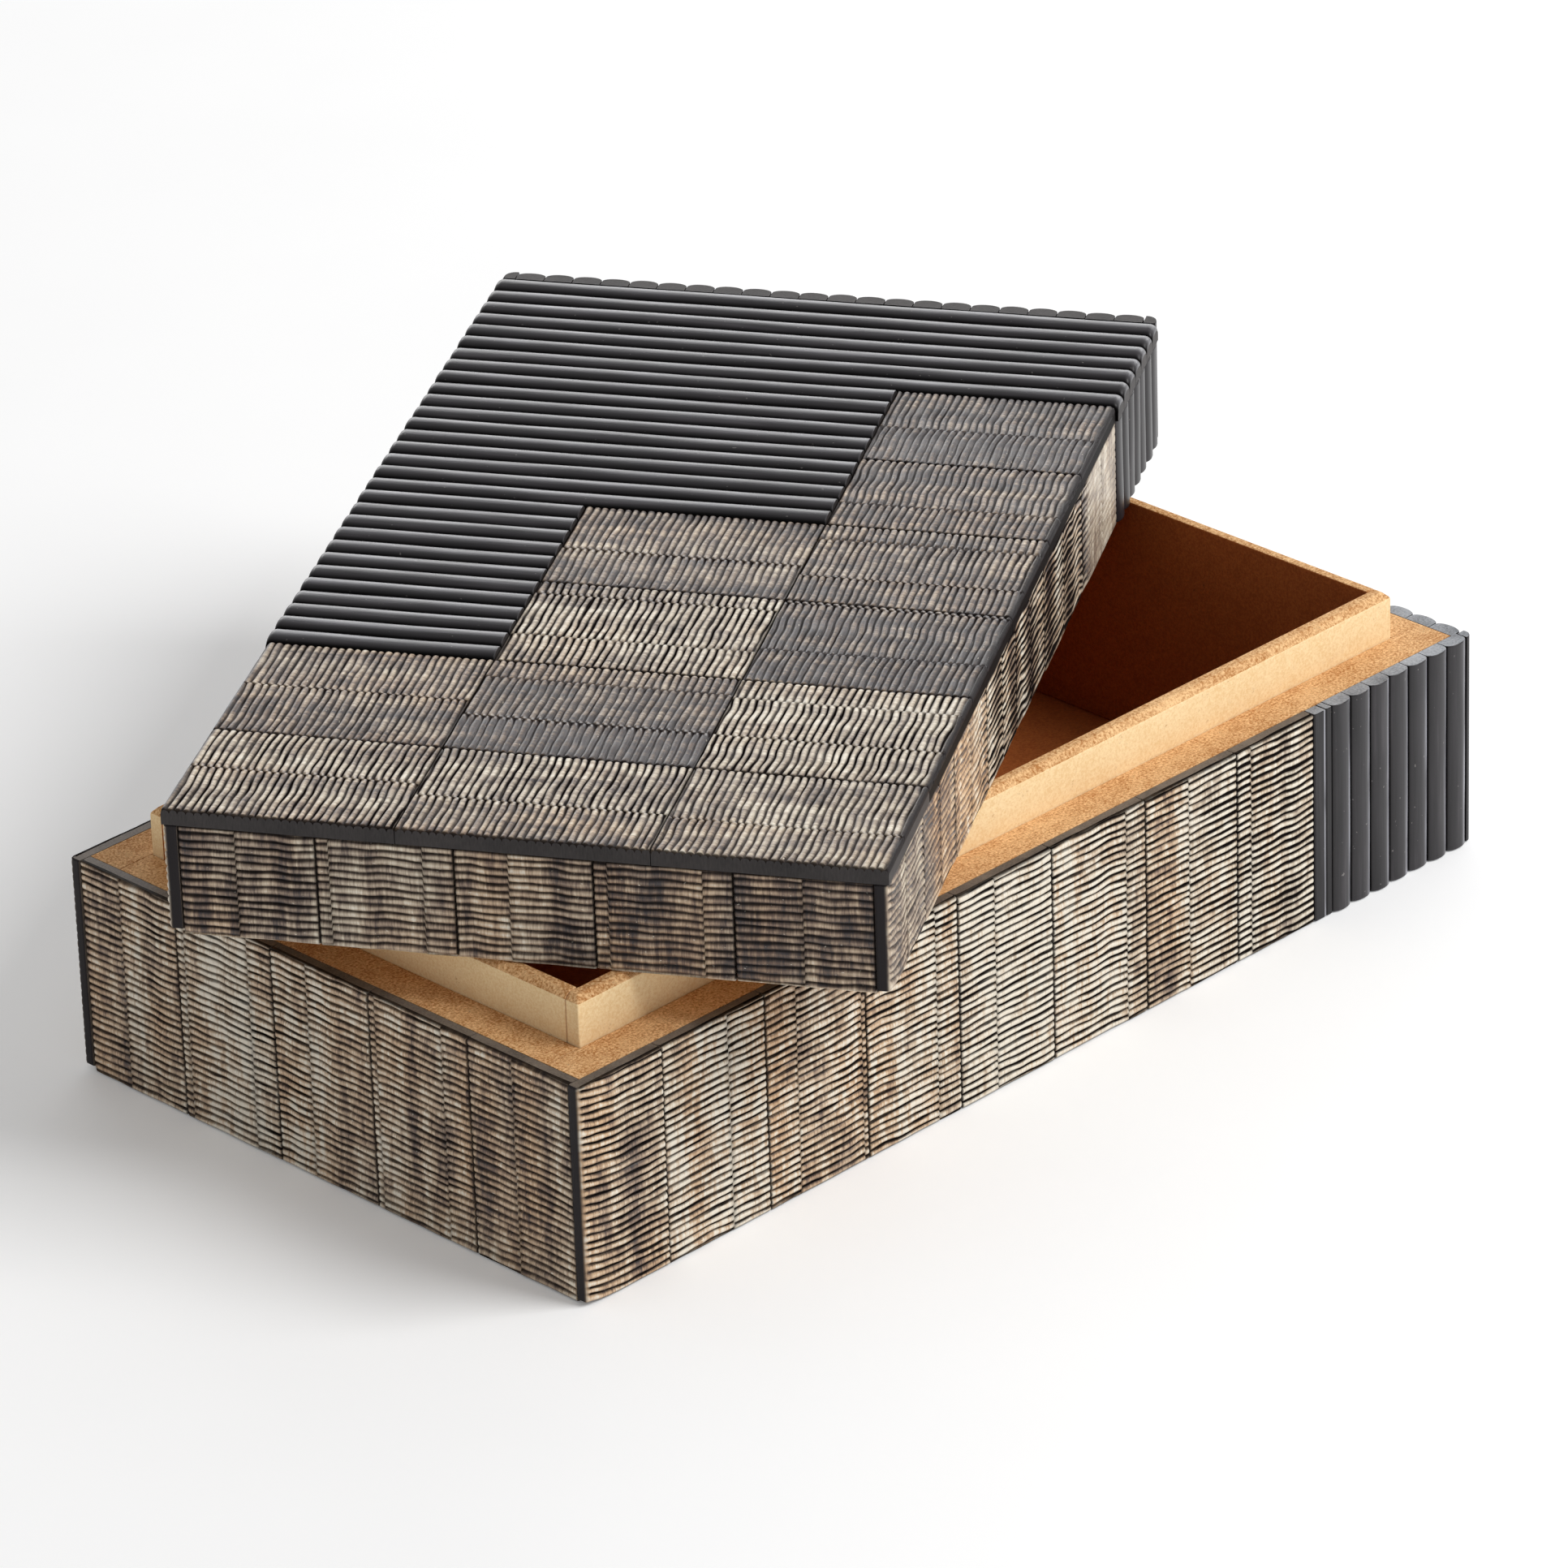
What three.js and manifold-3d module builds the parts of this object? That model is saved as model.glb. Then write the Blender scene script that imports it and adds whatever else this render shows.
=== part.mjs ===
// A rectangular keepsake box with a loose lift-off lid. The core is fibreboard, the front is clad
// in carved horn tiles and the back in half-round horn reeds, in a staircase pattern. A thin lip
// inside the base locates the lid; here the lid lies turned and flat on top of that lip.
// Units are millimetres. X runs along the length (front to back), Y across it (right to left),
// Z up. The origin is the centre of the base's bottom face.

import * as THREE from 'three';
import { mergeVertices } from 'three/addons/utils/BufferGeometryUtils.js';
import Module from 'manifold-3d';

const wasm = await Module();
wasm.setup();

// ---- Driving dimensions ------------------------------------------------------------------

const GLUE = 0.2; // glue line between neighbouring pieces
const TILE = 3.5; // thickness of a horn tile on the sides
const TOP_TILE = 4.3; // thickness of a horn tile on the lid's top
const REED = 4.3; // thickness of a reed at its crest
const REED_SAGITTA = 1.6; // how far a reed's crest stands above its grooves
const REED_PITCH = 7.06; // along the length of the box
const REED_STEPS = 6; // straight pieces in a reed's curve
const CORNER_RADIUS = 2.5; // rounded vertical corners of the front
const CORNER_REED_RADIUS = 3.1; // rounded reeds at the two back corners
const BACK_REEDS = 22; // full reeds across the back, between the corner reeds

// The corner reed is how far the rounded reed at a back corner reaches along the long side.
const BASE = { length: 305, width: 171, height: 56, wall: 10, cornerReed: 2.6 };
const LID = { length: 303, width: 169, height: 32, wall: 8.4, cornerReed: REED + GLUE };
const FLOOR = 5; // thickness of the base's floor panel
const PANEL = 6; // thickness of the lid's top panel
const LIP = { thickness: 4, height: 12.5, chamfer: 1.6 }; // height is above the base's rim

// Where the lid rests: turned on the lip, its centre off the base's centre.
const LID_TURN = THREE.MathUtils.degToRad(31);
const LID_CENTRE = { x: -4.9, y: 26.5 };
const LID_REST_GAP = 0.3;

// Joints between pieces, measured from the front face.
const FRONT_TILES = 5;
const BASE_RIGHT_SEAMS = [26.3, 59.2, 91.7, 122.8, 154.7, 187, 219.2];
const BASE_SPACER_START = 246.7; // a flat strip between the last tile and the first reed
const LID_RIGHT_SEAMS = [35, 67.5, 101.7, 133.3, 165, 209];
const RIGHT_REEDS = 7;
const MIDDLE_REEDS = 18;
const LEFT_REEDS = 30;
const COLUMN_EDGE = 29.7; // the lid's top has three columns; this parts them, right and left
const TOP_TILE_ENDS = [41, 129.5, 209]; // tile joints that lie inside a column's tile field

// ---- Finishes ----------------------------------------------------------------------------

const finish = (color, roughness) => () =>
  new THREE.MeshStandardMaterial({ color, roughness, metalness: 0 });

const fibreboard = finish(0xc79a66, 0.9);
const paleBoard = finish(0xe3c391, 0.85);
const blackHorn = finish(0x454243, 0.4);
const hornTones = [0xb9a98c, 0x8d7a64, 0xa89a86, 0x746759, 0xc4b596, 0x9a8770].map((c) =>
  finish(c, 0.45));
const horn = (index) => hornTones[index % hornTones.length];

// ---- Solids ------------------------------------------------------------------------------

function piece(group, name, geometry, material) {
  const mesh = new THREE.Mesh(geometry, material());
  mesh.name = name;
  group.add(mesh);
}

function board(group, name, x, y, z, material) {
  const geometry = new THREE.BoxGeometry(x[1] - x[0], y[1] - y[0], z[1] - z[0]);
  geometry.translate((x[0] + x[1]) / 2, (y[0] + y[1]) / 2, (z[0] + z[1]) / 2);
  piece(group, name, geometry, material);
}

// Where an outline's two axes and the extrusion's own direction point, for each direction.
const BASES = {
  x: [new THREE.Vector3(0, 1, 0), new THREE.Vector3(0, 0, 1), new THREE.Vector3(1, 0, 0)],
  y: [new THREE.Vector3(0, 0, 1), new THREE.Vector3(1, 0, 0), new THREE.Vector3(0, 1, 0)],
  z: [new THREE.Vector3(1, 0, 0), new THREE.Vector3(0, 1, 0), new THREE.Vector3(0, 0, 1)],
};

// Extrudes an outline along an axis. The outline's points are (y, z) for x, (z, x) for y and
// (x, y) for z.
function extrude(axis, outline, span) {
  const shape = Array.isArray(outline) ? new THREE.Shape(outline) : outline;
  const geometry = new THREE.ExtrudeGeometry(shape, {
    depth: span[1] - span[0],
    bevelEnabled: false,
    curveSegments: 5,
  });
  geometry.translate(0, 0, span[0]);
  return geometry.applyMatrix4(new THREE.Matrix4().makeBasis(...BASES[axis]));
}

const point = (x, y) => new THREE.Vector2(x, y);

function toManifold(geometry) {
  const bare = geometry.clone();
  bare.deleteAttribute('normal');
  bare.deleteAttribute('uv');
  const merged = mergeVertices(bare, 1e-4);
  return new wasm.Manifold(new wasm.Mesh({
    numProp: 3,
    vertProperties: new Float32Array(merged.attributes.position.array),
    triVerts: new Uint32Array(merged.index.array),
  }));
}

function joined(geometries) {
  const whole = geometries.map(toManifold).reduce((sum, next) => sum.add(next));
  const mesh = whole.getMesh();
  const geometry = new THREE.BufferGeometry();
  geometry.setAttribute('position', new THREE.BufferAttribute(mesh.vertProperties, 3));
  geometry.setIndex(new THREE.BufferAttribute(mesh.triVerts, 1));
  geometry.computeVertexNormals();
  return geometry;
}

// The crests and grooves of a row of reeds: points (along, outward), the grooves at height
// crest - REED_SAGITTA. The first groove is at start.
function reedCurve(start, pitch, count, crest) {
  const radius = ((pitch / 2) ** 2 + REED_SAGITTA ** 2) / (2 * REED_SAGITTA);
  const points = [];
  for (let reed = 0; reed < count; reed += 1) {
    for (let step = 0; step <= REED_STEPS; step += 1) {
      if (step === 0 && reed > 0) continue;
      const offset = (step / REED_STEPS - 0.5) * pitch;
      const height = crest - radius + Math.sqrt(radius ** 2 - offset ** 2);
      points.push(point(start + (reed + 0.5) * pitch + offset, height));
    }
  }
  return points;
}

// ---- Both halves of the box share this plan ------------------------------------------------

function plan(box) {
  const front = -box.length / 2;
  const back = box.length / 2;
  const side = box.width / 2;
  const core = {
    x: [front + TILE + GLUE, back - REED - GLUE],
    y: side - TILE - GLUE,
  };
  const inner = {
    x: [core.x[0] + box.wall, core.x[1] - box.wall],
    y: core.y - box.wall,
  };
  return { front, back, side, core, inner, lastGroove: back - box.cornerReed };
}

// Long walls run the full length, short walls fit between them.
function walls(group, prefix, { core, inner }, z) {
  board(group, `${prefix}_wall_right`, core.x, [-core.y, -inner.y], z, fibreboard);
  board(group, `${prefix}_wall_left`, core.x, [inner.y, core.y], z, fibreboard);
  const across = [-inner.y + GLUE, inner.y - GLUE];
  board(group, `${prefix}_wall_front`, [core.x[0], inner.x[0]], across, z, fibreboard);
  board(group, `${prefix}_wall_back`, [inner.x[1], core.x[1]], across, z, fibreboard);
}

function frontTiles(group, prefix, { front, core }, z) {
  const width = (2 * core.y + GLUE) / FRONT_TILES;
  for (let i = 0; i < FRONT_TILES; i += 1) {
    const left = core.y - i * width;
    const span = [left - width + GLUE, left];
    board(group, `${prefix}_front_tile_${i + 1}`, [front, front + TILE], span, z, horn(i + 1));
  }
}

// The first tile of a long side covers the end of the front's tiles, its corner rounded.
function cornerTile(group, name, { front, side, core }, end, sign, z, material) {
  const inside = sign * (core.y + GLUE);
  const outside = sign * side;
  const shape = new THREE.Shape();
  shape.moveTo(front, inside);
  shape.lineTo(end, inside);
  shape.lineTo(end, outside);
  shape.lineTo(front + CORNER_RADIUS, outside);
  shape.absarc(front + CORNER_RADIUS, outside - sign * CORNER_RADIUS, CORNER_RADIUS,
    sign * Math.PI / 2, Math.PI, sign < 0);
  piece(group, name, extrude('z', shape, z), material);
}

function rightTiles(group, prefix, layout, seams, end, z) {
  const { front, side, core } = layout;
  const edges = [...seams, end].map((distance) => front + distance);
  cornerTile(group, `${prefix}_right_tile_1`, layout, edges[0] - GLUE, -1, z, horn(0));
  for (let i = 1; i < edges.length; i += 1) {
    const span = [edges[i - 1], edges[i] - GLUE];
    const depth = [-side, -core.y - GLUE];
    board(group, `${prefix}_right_tile_${i + 1}`, span, depth, z, horn(i));
  }
}

// Vertical reeds on a long side, which stop at the corner reed of the back.
function sideReeds(group, name, { side, core, lastGroove }, count, spacer, sign, z) {
  const firstGroove = lastGroove - count * REED_PITCH;
  const crest = side + REED - TILE;
  const outward = reedCurve(firstGroove, REED_PITCH, count, crest);
  const start = firstGroove - spacer;
  const outline = [point(start, core.y + GLUE), point(start, spacer ? side : outward[0].y)];
  if (spacer) outline.push(point(firstGroove - GLUE, side));
  outline.push(...outward, point(core.x[1] + GLUE, core.y + GLUE));
  piece(group, name, extrude('z', outline.map(({ x, y }) => point(x, sign * y)), z), blackHorn);
}

// Vertical reeds across the back, with a rounded reed at each corner.
function backReeds(group, name, { back, side, core, lastGroove }, z) {
  const centre = point(back - CORNER_REED_RADIUS, side - CORNER_REED_RADIUS);
  const groove = back - REED_SAGITTA;
  const start = lastGroove + GLUE;
  const from = Math.acos((groove - centre.x) / CORNER_REED_RADIUS);
  const to = Math.acos((start - centre.x) / CORNER_REED_RADIUS);
  const corner = [];
  for (let step = 0; step <= REED_STEPS; step += 1) {
    const angle = from + (to - from) * step / REED_STEPS;
    corner.push(point(centre.x + CORNER_REED_RADIUS * Math.cos(angle),
      centre.y + CORNER_REED_RADIUS * Math.sin(angle)));
  }
  const firstGroove = corner[0].y;
  const pitch = 2 * firstGroove / BACK_REEDS;
  const middle = reedCurve(-firstGroove, pitch, BACK_REEDS, back)
    .slice(1, -1)
    .map(({ x, y }) => point(y, x));
  const inner = [
    point(start, side + REED - TILE - REED_SAGITTA - GLUE),
    point(core.x[1] + 2 * GLUE, core.y),
    point(core.x[1] + GLUE, core.y - GLUE),
  ];
  const mirrored = (points) => points.map(({ x, y }) => point(x, -y));
  const outline = [
    ...mirrored([...inner].reverse()),
    ...mirrored([...corner].reverse()),
    ...middle,
    ...corner,
    ...inner,
  ];
  piece(group, name, extrude('z', outline, z), blackHorn);
}

// ---- Base ----------------------------------------------------------------------------------

function base() {
  const group = new THREE.Group();
  const layout = plan(BASE);
  const { inner, lastGroove } = layout;
  const z = [0, BASE.height];
  const floorY = inner.y - GLUE;
  const floorX = [inner.x[0] + GLUE, inner.x[1] - GLUE];
  board(group, 'base_floor', floorX, [-floorY, floorY], [0, FLOOR], fibreboard);
  walls(group, 'base', layout, z);

  const lipZ = [FLOOR + GLUE, BASE.height + LIP.height];
  const chamferZ = lipZ[1] - LIP.chamfer;
  const across = floorY - LIP.thickness - GLUE;
  const lipBoard = (name, axis, face, inward, span) => {
    const profile = [
      [face, lipZ[0]],
      [face, chamferZ],
      [face + inward * LIP.chamfer, lipZ[1]],
      [face + inward * LIP.thickness, lipZ[1]],
      [face + inward * LIP.thickness, lipZ[0]],
    ].map(([a, b]) => (axis === 'x' ? point(a, b) : point(b, a)));
    piece(group, name, extrude(axis, profile, span), paleBoard);
  };
  lipBoard('lip_board_right', 'x', -floorY, 1, floorX);
  lipBoard('lip_board_left', 'x', floorY, -1, floorX);
  lipBoard('lip_board_front', 'y', floorX[0], 1, [-across, across]);
  lipBoard('lip_board_back', 'y', floorX[1], -1, [-across, across]);

  frontTiles(group, 'base', layout, z);
  rightTiles(group, 'base', layout, BASE_RIGHT_SEAMS, BASE_SPACER_START, z);
  const leftEnd = lastGroove - LEFT_REEDS * REED_PITCH;
  cornerTile(group, 'base_left_tiles', layout, leftEnd - GLUE, 1, z, horn(2));
  const spacer = BASE.length - BASE.cornerReed - RIGHT_REEDS * REED_PITCH - BASE_SPACER_START;
  sideReeds(group, 'base_right_reeds', layout, RIGHT_REEDS, spacer, -1, z);
  sideReeds(group, 'base_left_reeds', layout, LEFT_REEDS, 0, 1, z);
  backReeds(group, 'base_back_reeds', layout, z);
  return group;
}

// ---- Lid -----------------------------------------------------------------------------------

// One block of the top's reeds, which run across the box. A block reaches a little under its
// neighbour so that the whole field joins into one piece.
function topReedBlock(firstGroove, count, span, bottom) {
  const overlap = 0.5;
  const crest = LID.height + REED - TILE;
  const points = reedCurve(firstGroove, REED_PITCH, count, crest).map(({ x, y }) => point(y, x));
  const end = points[points.length - 1];
  const outline = [point(bottom, firstGroove), ...points];
  const last = count === RIGHT_REEDS;
  if (!last) outline.push(point(end.x, end.y + overlap));
  outline.push(point(bottom, end.y + (last ? 0 : overlap)));
  return extrude('y', outline, span);
}

function lid() {
  const group = new THREE.Group();
  const layout = plan(LID);
  const { front, side, core, lastGroove } = layout;
  const topZ = [LID.height - TOP_TILE, LID.height];
  const panelZ = [topZ[0] - GLUE - PANEL, topZ[0] - GLUE];
  walls(group, 'lid', layout, [0, panelZ[0] - GLUE]);
  board(group, 'lid_panel', core.x, [-core.y, core.y], panelZ, fibreboard);

  const sideZ = [0, panelZ[1]];
  frontTiles(group, 'lid', layout, sideZ);
  const fieldStart = (count) => lastGroove - count * REED_PITCH;
  const [short, middle, long] = [RIGHT_REEDS, MIDDLE_REEDS, LEFT_REEDS].map(fieldStart);
  rightTiles(group, 'lid', layout, LID_RIGHT_SEAMS, short - front, sideZ);
  cornerTile(group, 'lid_left_tiles', layout, long - GLUE, 1, sideZ, horn(2));
  sideReeds(group, 'lid_right_reeds', layout, RIGHT_REEDS, 0, -1, sideZ);
  sideReeds(group, 'lid_left_reeds', layout, LEFT_REEDS, 0, 1, sideZ);
  backReeds(group, 'lid_back_reeds', layout, [0, LID.height]);

  const ends = TOP_TILE_ENDS.map((distance) => front + distance);
  const rows = [front, ends[0], long, ends[1], middle, ends[2], short];
  const columns = [
    { name: 'left', y: [COLUMN_EDGE, side], tiles: 2 },
    { name: 'middle', y: [-COLUMN_EDGE, COLUMN_EDGE - GLUE], tiles: 4 },
    { name: 'right', y: [-side, -COLUMN_EDGE - GLUE], tiles: 6 },
  ];
  columns.forEach(({ name, y, tiles }, column) => {
    for (let row = 0; row < tiles; row += 1) {
      const x = [rows[row], rows[row + 1] - GLUE];
      const tone = horn(row + 2 * column);
      board(group, `lid_top_tile_${name}_${row + 1}`, x, y, topZ, tone);
    }
  });
  const proud = side + REED - TILE;
  const blocks = [
    topReedBlock(long, LEFT_REEDS - MIDDLE_REEDS, [COLUMN_EDGE, proud], topZ[0]),
    topReedBlock(middle, MIDDLE_REEDS - RIGHT_REEDS, [-COLUMN_EDGE, proud], topZ[0]),
    topReedBlock(short, RIGHT_REEDS, [-proud, proud], topZ[0]),
  ];
  piece(group, 'lid_top_reeds', joined(blocks), blackHorn);

  group.rotation.z = LID_TURN;
  const restHeight = BASE.height + LIP.height + LID_REST_GAP;
  group.position.set(LID_CENTRE.x, LID_CENTRE.y, restHeight);
  return group;
}

const box = new THREE.Group();
box.add(base(), lid());

export default box;
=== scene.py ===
"""A keepsake box clad in carved horn tiles and half-round horn reeds, its lid set askew on the base.

The CAD gives every place and size. Base pieces are made in the row frame, and lid pieces in the
lid's own frame, which is turned on the base. Lengths are in millimetres until a mesh is made.
"""

import math
from dataclasses import dataclass, replace

import bpy
import numpy as np
from mathutils import Matrix, Vector


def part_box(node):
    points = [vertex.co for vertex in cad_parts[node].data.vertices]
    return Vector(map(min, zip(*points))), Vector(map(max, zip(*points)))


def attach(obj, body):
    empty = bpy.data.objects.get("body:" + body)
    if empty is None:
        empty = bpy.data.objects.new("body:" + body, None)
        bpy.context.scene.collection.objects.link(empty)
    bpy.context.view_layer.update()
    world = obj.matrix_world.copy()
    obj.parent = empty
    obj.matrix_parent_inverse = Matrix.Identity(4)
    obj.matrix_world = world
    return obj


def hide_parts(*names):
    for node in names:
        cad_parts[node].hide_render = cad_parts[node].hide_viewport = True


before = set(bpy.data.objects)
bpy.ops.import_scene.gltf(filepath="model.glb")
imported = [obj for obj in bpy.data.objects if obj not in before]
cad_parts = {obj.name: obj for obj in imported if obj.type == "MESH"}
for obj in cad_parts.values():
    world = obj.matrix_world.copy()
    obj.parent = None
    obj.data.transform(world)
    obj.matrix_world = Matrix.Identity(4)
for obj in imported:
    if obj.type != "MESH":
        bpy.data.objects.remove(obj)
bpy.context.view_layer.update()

MM = 0.001

# Carving
RIB_PITCH = 1.9
RIB_DEPTH = 0.8
RIB_STEPS = np.array([0.0, 0.1, 0.2, 0.32, 0.5, 0.68, 0.8, 0.9])  # samples across one rib
CREST_DROP = 0.1  # the crests lie this far below the tile's face
COURSE_STEP = 1.3  # samples along a rib
END_SAMPLES = np.array([0.0, 0.12, 0.3, 0.6])  # samples near a tile's ends
BREAK_SIDES = (-0.07, 0.07)  # samples on both sides of a break
SAMPLE_CLEARANCE = 0.3
TILE_THICKNESS = 3.5
TOP_THICKNESS = 4.3
TILE_GAP = 0.2
TILE_SEED_STEP = 5
CORNER_RADIUS = 1.3  # the rounded vertical corners of the front
CORNER_BOW = 0.75  # how far, in ribs, the ribs bend at a corner
CORNER_BOW_REACH = 4.5
EDGE_ROUNDING = 0.45
TOP_EDGE_ROUNDING = 1.1  # the lid's long upper edges
NO_EDGE = 9.0  # a distance past every rounding
GROOVE_CORE = 0.135  # the half width of a groove's painted shade, in ribs
GROOVE_SOFTNESS = 0.13
WIDE_GROOVE = 0.2  # how much wider, in ribs, for each unit of groove_shade above 1
SEAM_WIDTH = 0.34
SEAM_SHADE = 0.95
BREAK_WIDTH = 0.5
BREAK_SHADE = 0.4  # how dark the painted shade is at the steps where the ribs are offset
RIGHT_MARGIN = 1.8  # on the lid's top the ribs fade out this far from the long edges
LEFT_MARGIN = 1.6
WORN_REACH = 5.0  # over this distance the ribs turn from full to worn
FOOT_WIDTH = 0.45
MIN_GAP = 0.012  # between the lines of ribs that run out at a tile's edge

# Where a side's next tiles begin, from the side's front end.
RIGHT_SEAMS = {
    "base": (26.3, 59.2, 91.7, 122.8, 154.7, 187.0, 219.2),
    "lid": (35.0, 67.5, 101.7, 133.3, 165.0, 209.0),
}
LEFT_SEAMS = {"base": (30.0, 59.0), "lid": (30.0, 58.0)}

# Layers of smooth random change: size, length across the ribs, length along them, seed step.
RIB_WOBBLE = ((0.1, 1.3, 6.5, 0), (0.05, 1.1, 2.6, 2))
DEPTH_CHANGE = ((0.25, 1.0, 14.0, 3),)
CREST_SWELL = ((0.1, 1.0, 6.0, 4),)
GROOVE_SHADE_CHANGE = ((0.25, 1.0, 7.0, 8),)
GROOVE_CHANGE = ((0.06, 1.0, 6.0, 9), (0.03, 1.0, 2.2, 10))
RIB_STAIN = ((0.14, 1.0, 5.0, 13),)
# The same with the length along the ribs first.
STAIN_CLOUDS = ((0.18, 3.2, 26.0, 11), (0.13, 1.1, 8.0, 12))
WARMTH_CLOUDS = ((0.3, 7.0, 22.0, 14),)

# Reeds
REED_GAP = 0.2
REED_SAGITTA = 1.6
REED_ARC_STEPS = 14
REED_STATION = 7.0
REED_END_SAMPLES = np.array([0.0, 0.15, 0.5, 1.0, 1.6, 2.4])
REED_END_RADIUS = 1.7
REED_CUT_ROUNDING = 0.2
REED_OVERSHOOT = 0.15  # no reed stands higher than this above the crest line
REED_FLANK_DEPTH = 0.6  # a reed's sides reach this far below its groove
REED_PITCH = 7.06
RIGHT_REEDS, MIDDLE_REEDS, LEFT_REEDS, BACK_REEDS = 7, 18, 30, 22
# Darkness of the painted shade on a reed's flanks from the groove up, and the strength of its painted
# highlight along the crest and on one of its flanks.
TOP_LOOK = {"flanks": (1.0, 1.0, 0.9, 0.45), "wear_and_highlight": (0.07, 0.17, 0.29, 0.34, 0.27, 0.07, 0.0)}
SIDE_LOOK = {"flanks": (1.0, 0.8, 0.1, 0.0), "wear_and_highlight": (0.0, 0.0, 0.0, 0.05, 0.6, 1.2, 0.5)}
CORNER_REED = 3.3
BASE_CORNER_REACH = 2.6  # how far the base's corner reeds reach along the long sides
SPACER_STRIP = 4.1  # the width of the flat strip next to the right tiles
SPACER_SHADE = 0.35
SPACER_GAP = 0.12  # half of the joint between the strip and the next one
REED_JOINT = 0.15
EDGE_WEAR = 1.6
PRISM_BEVEL = 0.2
PRISM_TAPER = 0.93
CORNER_GAP = 0.1
CORNER_SHADE = 0.5

# Boards
LIP_CHAMFER = 1.6
LIP_BEVEL = 0.35
LIP_SIDES = {"right": (0, -1), "left": (0, 1), "front": (-1, 0), "back": (1, 0)}
BOARD_BEVEL = 0.25

# Camera and light
CAMERA_TARGET = (6.7, 7.4, 40.0)
CAMERA_DISTANCE = 2210.0
CAMERA_HEADING = 45.37  # degrees from +X towards +Y
CAMERA_ELEVATION = 27.01
CAMERA_ROLL = -1.96
CAMERA_LENS = 210.85
FLOOR_GLOW = 0.1  # a lit table, so the shadows are faint
FLOOR_REACH = 4.0  # metres
FLOOR_DROP = 0.0003  # metres
UP = (0, 0, 1)


# ---- Smooth random numbers ----


def fade(x):
    return x * x * (3 - 2 * x)


def wander(x, scale, seed):
    """Smooth random numbers from -1 to 1 along x, which change over a length of scale."""
    lattice = np.random.default_rng(seed).uniform(-1, 1, 1024)
    t = np.asarray(x, float) / scale + 100
    cell = np.floor(t).astype(int)
    blend = fade(t - cell)
    return lattice[cell % 1024] * (1 - blend) + lattice[(cell + 1) % 1024] * blend


def cloud(u, v, scale_u, scale_v, seed):
    """Smooth random numbers from -1 to 1 over a surface."""
    lattice = np.random.default_rng(seed).uniform(-1, 1, (256, 256))
    a, b = np.broadcast_arrays(np.asarray(u) / scale_u + 50, np.asarray(v) / scale_v + 50)
    i, j = np.floor(a).astype(int), np.floor(b).astype(int)
    p, q = fade(a - i), fade(b - j)
    i, j = i % 255, j % 255
    low = lattice[i, j] * (1 - p) + lattice[i + 1, j] * p
    high = lattice[i, j + 1] * (1 - p) + lattice[i + 1, j + 1] * p
    return low * (1 - q) + high * q


def layered(u, v, layers, seed):
    """The sum of some layers of smooth random change."""
    return sum(size * cloud(u, v, *lengths, seed + step) for size, *lengths, step in layers)


# ---- Frames ----


def lid_frame():
    """The lid's frame: X to its back, Y to its left, Z up, from the middle of its lower face."""
    corners = [v.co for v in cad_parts["lid_panel"].data.vertices]
    front_right = min(corners, key=lambda p: p.y)
    back_right = max(corners, key=lambda p: p.x)
    along = Vector((back_right - front_right).xy.to_3d())
    turn = math.atan2(along.y, along.x)
    middle = sum(corners, Vector()) / len(corners)
    middle.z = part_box("lid_wall_front")[0].z
    return Matrix.Translation(middle) @ Matrix.Rotation(turn, 4, "Z")


FRAMES = {"base": Matrix.Identity(4), "lid": lid_frame()}


def local_box(node):
    """(low, high) of a CAD node in its body's frame, in millimetres."""
    body = "lid" if node.startswith("lid_") else "base"
    inverse = FRAMES[body].inverted()
    points = np.array([inverse @ v.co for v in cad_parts[node].data.vertices]) / MM
    return points.min(axis=0), points.max(axis=0)


# ---- Meshes ----


def make_piece(name, body, parts, materials, nodes):
    """One object from closed shells: dicts of vertices, faces, smooth, slots and attributes."""
    starts = np.cumsum([0] + [len(part["vertices"]) for part in parts]).tolist()
    faces = [[i + start for i in face] for part, start in zip(parts, starts) for face in part["faces"]]
    mesh = bpy.data.meshes.new(name)
    vertices = np.concatenate([part["vertices"] for part in parts])
    mesh.from_pydata((vertices * MM).tolist(), [], faces)
    mesh.polygons.foreach_set("use_smooth", [flag for part in parts for flag in part["smooth"]])
    mesh.polygons.foreach_set("material_index", [index for part in parts for index in part["slots"]])
    for key in parts[0]["attributes"]:
        data = np.concatenate([part["attributes"][key] for part in parts]).astype(np.float32)
        kind, field = ("FLOAT_VECTOR", "vector") if data.ndim == 2 else ("FLOAT", "value")
        mesh.attributes.new(key, kind, "POINT").data.foreach_set(field, data.ravel())
    for material in materials:
        mesh.materials.append(material)
    mesh.update()
    piece = bpy.data.objects.new(name, mesh)
    bpy.context.scene.collection.objects.link(piece)
    piece.matrix_world = FRAMES[body]
    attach(piece, body)
    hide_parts(*nodes)
    return piece


# ---- Materials ----


def linear(red, green, blue):
    """A colour as the eye reads it, 0 to 255, as the linear numbers that shaders take."""
    return tuple(((c / 255 + 0.055) / 1.055) ** 2.4 if c > 10 else c / 3294.6
                 for c in (red, green, blue)) + (1.0,)


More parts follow.
